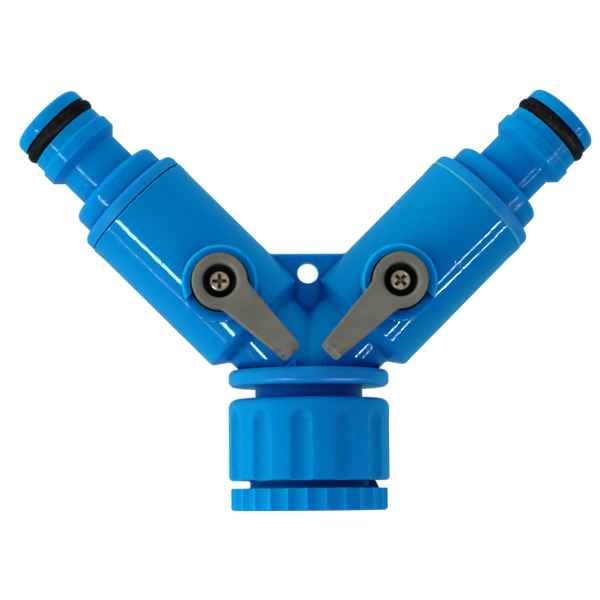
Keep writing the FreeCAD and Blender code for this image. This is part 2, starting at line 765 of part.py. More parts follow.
def valve_seat(node, place):
    """A ring whose hollow face follows the ball. Its place looks from the ball's centre to the seat."""
    thickness = "dims.seat_thickness"
    foot = Placement(Vector(0, 0, number(SEAT_FRONT)), Rotation())
    bore_radius = "dims.waterway_radius + dims.seat_bore_extra"
    blank = cylinder_tool(f"{node}_blank", "dims.seat_radius", thickness, foot)
    bore = cylinder_tool(f"{node}_bore", bore_radius, thickness, foot)
    hollow = sphere_tool(f"{node}_hollow", "dims.ball_radius + dims.seat_gap")
    ring = cut_away(f"{node}_ring", blank, bore)
    result = cut_away(node, ring, hollow)
    result.Placement = place
    return result


def stem(name, side):
    """Turned shaft with a foot inside the boss, a tang for the ball below and a square drive above."""
    body = new_body(f"{name}_stem")
    groove_top = f"{STEM_GROOVE} + dims.stem_groove_width"
    revolved(body, [
        ("0", FOOT_BOTTOM),
        ("dims.foot_radius", FOOT_BOTTOM),
        ("dims.foot_radius", FOOT_TOP),
        ("dims.stem_radius", FOOT_TOP),
        ("dims.stem_radius", STEM_GROOVE),
        (STEM_GROOVE_FLOOR, STEM_GROOVE),
        (STEM_GROOVE_FLOOR, groove_top),
        ("dims.stem_radius", groove_top),
        ("dims.stem_radius", CUP_FLOOR),
        ("0", CUP_FLOOR),
    ])
    tang = box_corners("(dims.tang_width / 2)", "(dims.tang_length / 2)")
    extruded(
        body, lambda sketch: outline(sketch, tang), f"{FOOT_BOTTOM} - {SLOT_FLOOR} - dims.tang_end_gap",
        backwards=True, shift=("0", "0", FOOT_BOTTOM),
    )
    drive = box_corners("(dims.drive_width / 2)", "(dims.drive_width / 2)")
    extruded(body, lambda sketch: outline(sketch, drive), "dims.drive_rise", shift=("0", "0", CUP_FLOOR))
    extruded(
        body, lambda sketch: circle_in(sketch, "dims.screw_radius + dims.screw_fit"),
        f"{DRIVE_TOP} - {SCREW_TIP} + dims.pilot_spare", cuts=True, shift=("0", "0", DRIVE_TOP),
    )
    body.Placement = valve_place(side)
    return body


def lever(name, side):
    """Round hub in the boss's cup and a tapered arm over its rim, with a screw well and a stop lug."""
    body = new_body(f"{name}_lever")
    extruded(
        body, lambda sketch: circle_in(sketch, HUB_RADIUS), f"{LEVER_TOP} - {HUB_BOTTOM}",
        shift=("0", "0", HUB_BOTTOM),
    )
    root = "(dims.lever_root_width / 2)"
    tip = "(dims.lever_tip_width / 2)"
    arm = [
        ("0", f"-{root}"),
        ("dims.lever_reach", f"-{tip}", "dims.lever_tip_round"),
        ("dims.lever_reach", tip, "dims.lever_tip_round"),
        ("0", root),
    ]
    extruded(
        body, lambda sketch: outline(sketch, arm), "dims.lever_arm_depth", shift=("0", "0", ARM_BOTTOM),
    )
    rounded(body, at_the_neck, "dims.lever_neck_round")
    bevel_low = f"{LEVER_TOP} - dims.tip_bevel_drop"
    bevel = [
        ("dims.lever_reach - dims.tip_bevel_reach", LEVER_TOP),
        ("dims.lever_reach", bevel_low),
        ("dims.lever_reach + 1", bevel_low),
        ("dims.lever_reach + 1", f"{LEVER_TOP} + 1"),
        ("dims.lever_reach - dims.tip_bevel_reach", f"{LEVER_TOP} + 1"),
    ]
    extruded(
        body, lambda sketch: outline(sketch, bevel), "2 * dims.lever_root_width",
        cuts=True, both_ways=True, role="XZ_Plane",
    )
    rounded(body, lambda middle, edge: near(middle.z, LEVER_TOP), "dims.lever_edge_round")
    half_lug = "(dims.stop_width / 2)"
    lug = [("0", f"-{half_lug}"), ("dims.boss_radius", f"-{half_lug}"), ("dims.boss_radius", half_lug), ("0", half_lug)]
    lug_bottom = f"({LOW_RIM} + dims.stop_clearance)"
    extruded(
        body, lambda sketch: outline(sketch, lug), f"{ARM_BOTTOM} - {lug_bottom}", shift=("0", "0", lug_bottom),
    )
    revolved(body, [
        ("0", SCREW_SEAT),
        ("dims.well_radius", SCREW_SEAT),
        ("dims.well_radius", f"{LEVER_TOP} + 1"),
        ("0", f"{LEVER_TOP} + 1"),
    ], cuts=True)
    rounded(
        body,
        lambda middle, edge: near(middle.z, LEVER_TOP) and near(math.hypot(middle.x, middle.y), "dims.well_radius"),
        "dims.well_round",
    )
    extruded(
        body, lambda sketch: circle_in(sketch, "dims.screw_hole_radius"), f"{LEVER_TOP} - {HUB_BOTTOM}",
        cuts=True, shift=("0", "0", SCREW_SEAT),
    )
    socket = box_corners("(dims.drive_width / 2 + dims.drive_fit)", "(dims.drive_width / 2 + dims.drive_fit)")
    extruded(
        body, lambda sketch: outline(sketch, socket), f"{DRIVE_TOP} + dims.hub_gap / 2 - {HUB_BOTTOM}",
        cuts=True, backwards=True, shift=("0", "0", HUB_BOTTOM),
    )
    body.Placement = valve_place(side)
    return body


def at_the_neck(middle, edge):
    """Picks the two upright edges where the arm's sides leave the hub."""
    upright = edge.BoundBox.ZLength > 0.99 * number("dims.lever_arm_depth")
    return upright and near(math.hypot(middle.x, middle.y), HUB_RADIUS) and middle.x > 0


def lever_screw(name, side):
    """Domed head with a cross recess. The thread is cut by the stem, so the shank has its root's size."""
    body = new_body(f"{name}_lever_screw")
    head_top = f"{SCREW_SEAT} + dims.screw_head_height"
    revolved(body, [
        ("0", SCREW_TIP),
        ("dims.screw_radius", f"{SCREW_TIP} + dims.screw_point"),
        ("dims.screw_radius", SCREW_SEAT),
        ("dims.screw_head_radius", SCREW_SEAT),
        ("dims.screw_head_radius", head_top, "dims.screw_head_round"),
        ("0", head_top),
    ])
    for across, up in (("dims.cross_length", "dims.cross_width"), ("dims.cross_width", "dims.cross_length")):
        slot = box_corners(f"({across} / 2)", f"({up} / 2)")
        extruded(
            body, lambda sketch: outline(sketch, slot), "dims.cross_depth", cuts=True,
            shift=("0", "0", head_top), turned=f"dims.{name}_cross_turned",
        )
    body.Placement = valve_place(side)
    return body


def along_valve(side, height):
    """The valve's frame, moved up its axis."""
    place = valve_place(side)
    return place * Placement(Vector(0, 0, number(height)), Rotation())


pieces = [
    y_body(),
    swivel_nut(),
    thread_adaptor(),
    flat_washer(
        "inlet_washer", "dims.inlet_washer_bore", WASHER_RADIUS,
        ADAPTOR_TOP, "dims.inlet_washer_thickness",
    ),
    flat_washer(
        "adaptor_washer", "dims.adaptor_bore_radius", "(dims.undercut_radius - dims.washer_fit)",
        "(dims.washer_seat_depth - dims.adaptor_washer_thickness)", "dims.adaptor_washer_thickness",
    ),
]
for name, side in SIDES.items():
    pieces.append(outlet_nipple(name))
    pieces.append(seal_ring(
        f"{name}_nipple_o_ring", COUPLING_RING_CENTRE, "dims.coupling_ring_section",
        nipple_place(name, f"({GROOVE_START} + {GROOVE_END}) / 2"),
    ))
    pieces.append(seal_ring(
        f"{name}_joint_o_ring", JOINT_RING_CENTRE, "dims.joint_ring_section",
        nipple_place(name, JOINT_RING_STATION),
    ))
    pieces.append(valve_ball(name, side))
    turned_back = Placement(Vector(), Rotation(Vector(0, 1, 0), 180))
    pieces.append(valve_seat(f"{name}_inner_seat", arm_place(side, "dims.valve_station") * turned_back))
    pieces.append(valve_seat(f"{name}_outer_seat", nipple_place(name, "dims.valve_station")))
    pieces.append(stem(name, side))
    pieces.append(seal_ring(
        f"{name}_stem_o_ring", STEM_RING_CENTRE, "dims.stem_ring_section",
        along_valve(side, f"{STEM_GROOVE} + dims.stem_groove_width / 2"),
    ))
    pieces.append(lever(name, side))
    pieces.append(lever_screw(name, side))
doc.recompute()

for item in doc.Objects:
    if "Invalid" in item.State or "Error" in item.State:
        raise RuntimeError(f"{item.Label} could not be worked out")
for piece in pieces:
    if piece.Shape.isNull() or not piece.Shape.isValid() or len(piece.Shape.Solids) != 1:
        raise RuntimeError(f"{piece.Label} is not one sound solid")

os.makedirs("parts", exist_ok=True)
for piece in pieces:
    piece.Shape.exportStep(f"parts/{piece.Label}.step")
    print(f"{piece.Label}: {piece.Shape.Volume:.1f} mm3, {len(piece.Shape.Faces)} faces")
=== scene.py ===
import math

import bmesh
import bpy
from mathutils import Matrix, Quaternion, Vector


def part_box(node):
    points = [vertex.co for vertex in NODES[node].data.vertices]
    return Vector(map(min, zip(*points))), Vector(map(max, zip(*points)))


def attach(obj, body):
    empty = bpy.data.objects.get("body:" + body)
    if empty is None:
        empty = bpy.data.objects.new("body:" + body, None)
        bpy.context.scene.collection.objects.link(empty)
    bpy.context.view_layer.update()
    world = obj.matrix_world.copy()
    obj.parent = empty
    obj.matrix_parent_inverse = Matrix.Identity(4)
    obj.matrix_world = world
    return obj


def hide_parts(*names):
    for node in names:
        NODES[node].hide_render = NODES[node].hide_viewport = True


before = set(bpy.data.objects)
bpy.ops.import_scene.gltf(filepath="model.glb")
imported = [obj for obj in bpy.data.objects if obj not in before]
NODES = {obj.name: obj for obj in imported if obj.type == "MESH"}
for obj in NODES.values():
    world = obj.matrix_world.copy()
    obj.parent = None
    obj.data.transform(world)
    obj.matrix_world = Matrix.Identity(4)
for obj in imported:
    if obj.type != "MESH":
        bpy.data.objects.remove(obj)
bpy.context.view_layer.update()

MM = 0.001
scene = bpy.context.scene

# Places that the materials work from, in metres.
# The arms' axes meet at the fork. The barrel's mouth and the mould's line lie this far out along an arm.
FORK_HEIGHT = 0.02702
BARREL_MOUTH, WITNESS_LINE = 0.04865, 0.0360
COLLAR_MIDDLE = BARREL_MOUTH + 0.0014
# The valve stems' axes, the painted highlight line on the boss's rim round them, and the well in the lever's
# hub, which is painted dark as shade.
STEM_X, STEM_Z = 0.0176, 0.0446
BOSS_RIM = 0.0071
WELL_EDGE, WELL_WALL = 0.0036, 0.0028
# The front part of the boss's rim, where its painted highlight lies, as depths along Y.
RIM_BACK, RIM_FRONT = -0.0150, -0.0156
# The flange's top, the height below which the levers' tips are worn, and the adaptor ring's top and the radii
# where the painted highlight on its cusps fades in.
FLANGE_TOP, TIP_HEIGHT = 0.02817, 0.0318
RING_HEIGHT, CUSP_INSIDE, CUSP_OUTSIDE = 0.0045, 0.01558, 0.01580


# ---------------------------------------------------------------- materials

# Blue plastic: two tones, then painted shade for corners, hollows and gaps, and painted highlights for cusps,
# rubbed edges, the boss's rim and the right collar's seam.
BLUE_DARK, BLUE_LIGHT = (0.0, 0.252, 0.615, 1), (0.0, 0.277, 0.650, 1)
BLUE_CORNER_SHADE, BLUE_HOLLOW_SHADE = (0.0, 0.070, 0.50, 1), (0.0, 0.10, 0.46, 1)
BLUE_GAP_SHADE, BLUE_CRACK_SHADE = (0.0, 0.030, 0.26, 1), (0.0, 0.006, 0.05, 1)
BLUE_SEAM_GAP_SHADE, BLUE_SEAM_HIGHLIGHT = (0.0, 0.26, 0.95, 1), (0.12, 0.60, 1.0, 1)
BLUE_CUSP_HIGHLIGHT, BLUE_RUBBED_HIGHLIGHT, BLUE_RIM_HIGHLIGHT = (0.0, 0.42, 0.88, 1), (0.0, 0.42, 0.90, 1), (0.0, 0.46, 0.95, 1)
FLANGE_ROUGHNESS, COLLAR_ROUGHNESS = 0.24, 0.4

GREY_DARK, GREY_LIGHT = (0.128, 0.142, 0.108, 1), (0.182, 0.196, 0.154, 1)
GREY_SPECK, GREY_RUBBED_HIGHLIGHT = (0.36, 0.36, 0.31, 1), (0.27, 0.265, 0.235, 1)
GREY_SCUFF, GREY_SCRATCH = (0.075, 0.062, 0.050, 1), (0.33, 0.33, 0.31, 1)
GREY_CREVICE_SHADE, GREY_WELL_SHADE = (0.010, 0.008, 0.005, 1), (0.006, 0.0045, 0.002, 1)

STEEL_BRIGHT, STEEL_TARNISHED = (1.0, 0.86, 0.54, 1), (0.62, 0.50, 0.29, 1)
STEEL_RECESS_SHADE = (0.020, 0.014, 0.006, 1)
RUBBER_DARK, RUBBER_LIGHT = (0.003, 0.003, 0.0025, 1), (0.009, 0.0085, 0.007, 1)
RUBBER_DUST = (0.10, 0.09, 0.07, 1)


class Nodes:
    """A node tree, with short calls that make its nodes and link them."""

    def __init__(self, tree):
        self.tree = tree

    def node(self, kind, inputs=(), **settings):
        made = self.tree.nodes.new(kind)
        for key, value in settings.items():
            setattr(made, key, value)
        for key, value in dict(inputs).items():
            self.feed(made.inputs[key], value)
        return made

    def feed(self, socket, value):
        if isinstance(value, bpy.types.NodeSocket):
            self.tree.links.new(value, socket)
        else:
            socket.default_value = value


class Look(Nodes):
    """A material, with the nodes that the materials share. All lengths are in metres."""

    def __init__(self, name):
        self.material = bpy.data.materials.new(name)
        self.material.use_nodes = True
        super().__init__(self.material.node_tree)
        self.shader = self.tree.nodes["Principled BSDF"]
        self.place = self.node("ShaderNodeTexCoord").outputs["Object"]

    def finish(self, **sockets):
        for key, value in sockets.items():
            self.feed(self.shader.inputs[key.replace("_", " ")], value)
        return self.material

    def maths(self, operation, first, second=0.0):
        return self.node("ShaderNodeMath", {0: first, 1: second}, operation=operation).outputs[0]

    def times(self, first, second):
        return self.maths("MULTIPLY", first, second)

    def length(self, across, along):
        square = self.maths("ADD", self.times(across, across), self.times(along, along))
        return self.maths("SQRT", square)

    def blend(self, factor, first, second):
        inputs = {"Factor": factor, "A": first, "B": second}
        return self.node("ShaderNodeMix", inputs, data_type="RGBA").outputs["Result"]

    def spread(self, value, low, high, out_low=0.0, out_high=1.0):
        """The value, mapped from low..high to out_low..out_high and held there outside."""
        return self.node("ShaderNodeMapRange", {
            "Value": value, "From Min": low, "From Max": high, "To Min": out_low, "To Max": out_high,
        }).outputs["Result"]

    def band(self, value, middle, inner, outer):
        """1 where the value is within inner of the middle, and 0 from outer on."""
        away = self.maths("ABSOLUTE", self.maths("SUBTRACT", value, middle))
        return self.spread(away, outer, inner)

    def axis(self, name):
        return self.node("ShaderNodeSeparateXYZ", {"Vector": self.place}).outputs[name]

    def along_arm(self):
        """How far out a point lies along its arm from the fork, the same in both arms."""
        rise = self.maths("SUBTRACT", self.axis("Z"), FORK_HEIGHT)
        return self.times(self.maths("ADD", self.maths("ABSOLUTE", self.axis("X")), rise), math.sqrt(0.5))

    def from_stem(self):
        """How far a point is from its side's stem axis."""
        across = self.maths("SUBTRACT", self.maths("ABSOLUTE", self.axis("X")), STEM_X)
        return self.length(across, self.maths("SUBTRACT", self.axis("Z"), STEM_Z))

    def from_inlet(self):
        """How far a point is from the inlet's axis."""
        return self.length(self.axis("X"), self.axis("Y"))

    def stretched(self, scale):
        return self.node("ShaderNodeMapping", {"Vector": self.place, "Scale": scale}).outputs[0]

    def noise(self, size, detail=2.0, vector=None, roughness=0.5):
        """Noise from 0 to 1 whose patches are about size across."""
        return self.node("ShaderNodeTexNoise", {
            "Vector": vector or self.place, "Scale": 1 / size, "Detail": detail, "Roughness": roughness,
        }).outputs["Fac"]

    def turning(self, size):
        """Fine lines that run round each arm, from 0 to 1."""
        return self.node("ShaderNodeTexNoise", {
            "W": self.along_arm(), "Scale": 1 / size, "Detail": 2.0,
        }, noise_dimensions="1D").outputs["Fac"]

    def edges(self, reach, sharpest=0.86):
        """1 at a convex or concave edge and 0 on a flat or gently curved face."""
        rounded = self.node("ShaderNodeBevel", {"Radius": reach}, samples=6).outputs["Normal"]
        own = self.node("ShaderNodeNewGeometry").outputs["Normal"]
        turned = self.node("ShaderNodeVectorMath", {0: rounded, 1: own}, operation="DOT_PRODUCT")
        return self.spread(turned.outputs["Value"], 1.0, sharpest)

    def crevices(self, reach, most_open=0.85):
        """1 deep in a corner or a gap and 0 on an open face."""
        open_part = self.node("ShaderNodeAmbientOcclusion", {"Distance": reach}, samples=8).outputs["AO"]
        return self.spread(open_part, most_open, 0.25)

    def bump(self, height, strength, distance, normal=None):
        inputs = {"Height": height, "Strength": strength, "Distance": distance}
        if normal:
            inputs["Normal"] = normal
        return self.node("ShaderNodeBump", inputs).outputs["Normal"]


def blue_tone(look, on_body):
    """Cloudy blue, with painted shade in corners, hollows and gaps, and painted highlights on cusps, rubbed
    edges, the boss's rim and the right collar's seam.
    """
    flow = look.noise(0.016, 3.0, look.stretched((1.0, 1.0, 0.45)), 0.6)
    shade = look.maths("ADD", look.times(flow, 0.5), look.times(look.noise(0.045), 0.5))
    colour = look.blend(look.spread(shade, 0.35, 0.65), BLUE_DARK, BLUE_LIGHT)
    # Painted shade in corners.
    colour = look.blend(look.crevices(0.009), colour, BLUE_CORNER_SHADE)
    if not on_body:
        # Painted shade in the hollows of the pieces other than the body, such as the scallops and flutes.
        hollow_shade = look.times(look.crevices(0.005, 1.0), 0.9)
        colour = look.blend(hollow_shade, colour, BLUE_HOLLOW_SHADE)
        # Painted highlight on the adaptor ring's cusps, up to the ring's top.
        cusp_highlight = look.times(look.spread(look.from_inlet(), CUSP_INSIDE, CUSP_OUTSIDE), 0.5)
        cusp_highlight = look.times(cusp_highlight, look.spread(look.axis("Z"), RING_HEIGHT + 0.0002, RING_HEIGHT))
        colour = look.blend(cusp_highlight, colour, BLUE_CUSP_HIGHLIGHT)
    # Painted shade in narrow gaps, a lighter blue in the gaps at the collars' seams.
    gap_shade = look.crevices(0.0018)
    by_seam = look.band(look.along_arm(), BARREL_MOUTH, 0.0006, 0.0008)
    colour = look.blend(gap_shade, colour, look.blend(by_seam, BLUE_GAP_SHADE, BLUE_SEAM_GAP_SHADE))
    if on_body:
        # Near-black painted shade in the tightest gaps of the body, such as round the levers' hubs.
        colour = look.blend(look.crevices(0.0007, 0.7), colour, BLUE_CRACK_SHADE)
        # Painted highlight: a broken bright line along the front of each boss's rim.
        rim = look.band(look.from_stem(), BOSS_RIM, 0.00010, 0.00032)
        rim = look.times(rim, look.spread(look.axis("Y"), RIM_BACK, RIM_FRONT))
        rim = look.times(rim, look.spread(look.noise(0.003, 3.0), 0.3, 0.6, 0.3, 0.9))
        colour = look.blend(rim, colour, BLUE_RIM_HIGHLIGHT)
    # Rubbed edges, lighter partly from wear and partly as a painted highlight, broken up in patches and kept
    # out of the gaps.
    worn = look.spread(look.noise(0.0012, 4.0), 0.2, 0.6, 0.25, 0.8)
    rubbed_highlight = look.times(look.edges(0.0004, 0.93), worn)
    rubbed_highlight = look.times(rubbed_highlight, look.maths("SUBTRACT", 1.0, gap_shade))
    colour = look.blend(rubbed_highlight, colour, BLUE_RUBBED_HIGHLIGHT)
    # Painted highlight: a light line along the right collar's seam.
    on_right = look.maths("GREATER_THAN", look.axis("X"), 0.0)
    seam_highlight = look.times(look.band(look.along_arm(), BARREL_MOUTH, 0.00010, 0.00022), on_right)
    return look.blend(seam_highlight, colour, BLUE_SEAM_HIGHLIGHT)


def blue_gloss(look, roughness, on_body):
    """Patchy roughness between two values, and duller below the flange's top or on the nipples' collars."""
    sheen = look.spread(look.noise(0.004, 5.0, roughness=0.7), 0.3, 0.7, *roughness)
    if on_body:
        dull = look.times(look.spread(look.axis("Z"), FLANGE_TOP + 0.0002, FLANGE_TOP), FLANGE_ROUGHNESS)
    else:
        dull = look.times(look.band(look.along_arm(), COLLAR_MIDDLE, 0.0017, 0.0019), COLLAR_ROUGHNESS)
    return look.maths("MAXIMUM", sheen, dull)


def blue_relief(look, grain, on_body):
    """Soft waves and a fine grain, then the mould's line on the body, or fine lines on the other pieces."""
    normal = look.bump(look.noise(0.006), 0.06, 0.0005)
    normal = look.bump(look.noise(0.00045, 3.0), grain, 0.00004, normal)
    if on_body:
        return look.bump(look.band(look.along_arm(), WITNESS_LINE, 0.00005, 0.00022), 1.0, 0.00003, normal)
    return look.bump(look.turning(0.00030), 0.6, 0.00004, normal)


def moulded_blue(name, roughness, grain, specular, tint, on_body=False):
    look = Look(name)
    return look.finish(
        Base_Color=blue_tone(look, on_body), Roughness=blue_gloss(look, roughness, on_body),
        Normal=blue_relief(look, grain, on_body), Specular_IOR_Level=specular, Specular_Tint=tint,
        Subsurface_Weight=0.8, Subsurface_Radius=(0.05, 0.2, 1.0), Subsurface_Scale=0.003,
    )


def satin_grey():
    """The levers' plastic, with specks, rubbed edges partly lit by a painted highlight, painted shade in
    crevices and in the hub's well, and scuffs and scratches on the tips.
    """
    look = Look("satin_grey")
    colour = look.blend(look.spread(look.noise(0.006, 3.0), 0.3, 0.7), GREY_DARK, GREY_LIGHT)
    specks = look.spread(look.noise(0.00035), 0.66, 0.74)
    colour = look.blend(look.times(specks, 0.45), colour, GREY_SPECK)
    # Rubbed edges, lighter partly from wear and partly as a painted highlight.
    rubbed_highlight = look.times(look.edges(0.0005), look.spread(look.noise(0.0010, 4.0), 0.35, 0.75))
    colour = look.blend(look.times(rubbed_highlight, 0.8), colour, GREY_RUBBED_HIGHLIGHT)
    # Near-black painted shade in crevices.
    colour = look.blend(look.crevices(0.004), colour, GREY_CREVICE_SHADE)
    tip = look.spread(look.axis("Z"), TIP_HEIGHT + 0.0012, TIP_HEIGHT - 0.0006)
    scuffs = look.spread(look.noise(0.0014, 5.0, look.stretched((0.35, 1.0, 1.0)), 0.65), 0.46, 0.62)
    colour = look.blend(look.times(tip, scuffs), colour, GREY_SCUFF)
    scratches = look.spread(look.noise(0.0012, 3.0, look.stretched((1.0, 1.0, 3.5)), 0.6), 0.60, 0.68)
    colour = look.blend(look.times(look.times(tip, scratches), 0.6), colour, GREY_SCRATCH)
    # Near-black painted shade in the well round the screw.
    colour = look.blend(look.spread(look.from_stem(), WELL_EDGE, WELL_WALL), colour, GREY_WELL_SHADE)
    roughness = look.spread(look.noise(0.0009, 4.0), 0.3, 0.7, 0.42, 0.58)
    normal = look.bump(look.noise(0.00030, 3.0), 0.30, 0.00005)
    normal = look.bump(look.noise(0.004), 0.15, 0.0004, normal)
    return look.finish(Base_Color=colour, Roughness=roughness, Normal=normal, Specular_IOR_Level=0.25)


def plated_steel():
    look = Look("plated_steel")
    colour = look.blend(look.spread(look.noise(0.0009, 4.0), 0.35, 0.7), STEEL_BRIGHT, STEEL_TARNISHED)
    # Painted shade in the cross recess and other crevices.
    colour = look.blend(look.crevices(0.0016, 0.95), colour, STEEL_RECESS_SHADE)
    roughness = look.spread(look.noise(0.0005, 3.0), 0.3, 0.7, 0.16, 0.30)
    normal = look.bump(look.noise(0.00025, 3.0), 0.2, 0.00003)
    return look.finish(Base_Color=colour, Metallic=0.45, Roughness=roughness, Normal=normal)


def seal_rubber():
    look = Look("seal_rubber")
    colour = look.blend(look.spread(look.noise(0.0025, 4.0), 0.35, 0.7), RUBBER_DARK, RUBBER_LIGHT)
    dust = look.spread(look.noise(0.00045, 3.0), 0.62, 0.72)
    colour = look.blend(look.times(dust, 0.6), colour, RUBBER_DUST)
    roughness = look.spread(look.noise(0.0006, 4.0), 0.3, 0.7, 0.40, 0.65)
    normal = look.bump(look.noise(0.00030, 3.0), 0.6, 0.00008)
    return look.finish(Base_Color=colour, Roughness=roughness, Normal=normal, Specular_IOR_Level=0.15)


def inner_plastic(name, light, dark, roughness):
    look = Look(name)
    colour = look.blend(look.spread(look.noise(0.005, 3.0), 0.35, 0.65), dark, light)
    rough = look.spread(look.noise(0.0012, 4.0), 0.3, 0.7, *roughness)
    return look.finish(Base_Color=colour, Roughness=rough, Normal=look.bump(look.noise(0.0004), 0.1, 0.00003))


MATERIALS = {
    "blue_plastic": moulded_blue("polished_blue", (0.04, 0.08), 0.01, 0.35, (0.8, 0.93, 1, 1), True),
    "satin_blue": moulded_blue("satin_blue", (0.08, 0.12), 0.04, 0.16, (0.6, 0.9, 1, 1)),
    "matte_blue": moulded_blue("matte_blue", (0.26, 0.36), 0.06, 0.07, (0.2, 0.8, 1, 1)),
    "grey_plastic": satin_grey(),
    "screw_steel": plated_steel(),
    "black_rubber": seal_rubber(),
}
for kind, light, dark, roughness in (
    ("seat_plastic", (0.82, 0.81, 0.77, 1), (0.74, 0.73, 0.69, 1), (0.40, 0.55)),
    ("ball_plastic", (0.66, 0.67, 0.68, 1), (0.58, 0.59, 0.60, 1), (0.18, 0.28)),
    ("stem_plastic", (0.05, 0.05, 0.052, 1), (0.03, 0.03, 0.032, 1), (0.35, 0.5)),
):
    MATERIALS[kind] = inner_plastic(f"{kind}_look", light, dark, roughness)

for node in NODES.values():
    for entry in node.material_slots:
        entry.material = MATERIALS[entry.material.name.split(".")[0]]
for side in ("left", "right"):
    NODES[f"{side}_outlet_nipple"].material_slots[0].material = MATERIALS["satin_blue"]


# ---------------------------------------------------------------- pieces

# From here on, lengths are in millimetres up to the point where a mesh is made. Phases are in degrees.
# Pipe thread on the adaptor and in the nut: its pitch and the radii of its root and crest.
PITCH = 1.814
THREAD_ROOT, THREAD_CREST = 12.06, 13.22
# Tap thread inside the adaptor: its radii, where its first root starts, and its end.
TAP_ROOT, TAP_CREST = 10.52, 9.36
TAP_START, TAP_TOP = 0.4, 8.8
# How finely threads and turned pieces are divided: per turn of the pitch, and round the axis.
THREAD_STEPS, POINTS_ROUND = 12, 120

# The male thread: where its first crest starts, the plain neck under it, and the chamfer at its top.
THREAD_START, THREAD_RELIEF = 5.8, 11.93
CHAMFER_DEPTH, CHAMFER_SLOPE = 0.25, 1.1
# The fillet between the plain neck and the ring.
FILLET_HEIGHT, FILLET_CURVE = 0.45, 1.2
# The tab at the thread's start: the angle where it ends and the one over which it fades, in radians, and its
# top, its radius there and how that grows downwards.
TAB_END, TAB_FADE = 0.38, 0.08
TAB_TOP, TAB_RADIUS, TAB_SLOPE = 5.95, 13.3, 0.48

# The adaptor: its top, where its spigot goes into the ring, its waterway, and the washer's pocket.
ADAPTOR_TOP, RING_TOP = 14.77, 4.5
SPIGOT_FOOT, SPIGOT_RADIUS = RING_TOP - 0.3, 11.5
WATERWAY, POCKET_RADIUS, POCKET_TOP = 6.5, 9.8, 10.8
# Its ring: the hole, how far the flat faces reach, the scallops, and the rounded lower edge.
RING_HOLE, RING_FACE, RING_RADIUS = 11.3, 14.6, 15.87
SCALLOPS, SCALLOP_DEPTH, SCALLOP_PHASE, CUSP_ROUNDING = 26, 0.6, -3.5, 0.35
LOWER_EDGE_RADIUS, LOWER_EDGE_ROUNDING = 16.07, 1.15
POINTS_PER_SCALLOP = 16
# How far the cusps are worn back near the ring's top, as (below the top, worn).
WORN_TOP = (0.15, 0.03), (0.04, 0.09), (0.0, 0.22)

# The nut: its ends and the lip that hangs on the tail's catch, then its bore from the chamfer up.
NUT_BOTTOM, NUT_TOP, NUT_LIP = 6.03, 22.37, 19.37
NUT_CHAMFER_RADIUS, NUT_CHAMFER_SLOPE, NUT_THREAD_PLAY, NUT_THREAD_TOP = 13.5, 0.9, 0.1, 16.4
PLAIN_BORE, LIP_BORE = 12.75, 10.9
# The nut's sleeve reaches a little way into its coat, which carries the flutes.
SLEEVE_RADIUS, COAT_HOLE, NUT_RADIUS = 14.2, 13.9, 16.15
LOWER_ROUNDING, UPPER_ROUNDING = 0.8, 1.8
FLUTES, FLUTE_WIDTH, FLUTE_DEPTH, FLUTE_PHASE, FLUTE_ROUNDING = 12, 4.35, 0.75, -7, 0.16
FLUTE_TOP = NUT_TOP - 2.6
POINTS_PER_FLUTE, COARSE_STEP, FINE_STEP = 36, 1.2, 0.22

# The lever screw: its cross recess with the slopes of the recess's walls, its head and its thread.
CROSS_LENGTH, CROSS_WIDTH, CROSS_DEPTH, CROSS_HUB = 3.1, 0.72, 0.9, 0.62
WALL_SLOPE, END_SLOPE, HUB_SLOPE = 7, 1.8, 5
HEAD_TOP_RADIUS, HEAD_RADIUS, HEAD_HEIGHT = 1.62, 2.0, 1.4
HEAD_DOME, HEAD_DROP, HEAD_EDGE = 0.05, 0.62, 0.06
SCREW_ROOT, SCREW_CREST, SCREW_PITCH = 0.82, 1.15, 0.9
POINT_RADIUS, POINT_SLOPE, RUNOUT = 0.35, 0.7, 0.3
POINTS_ROUND_SCREW, CROWN_STEPS, EDGE_STEPS = 160, 36, 6


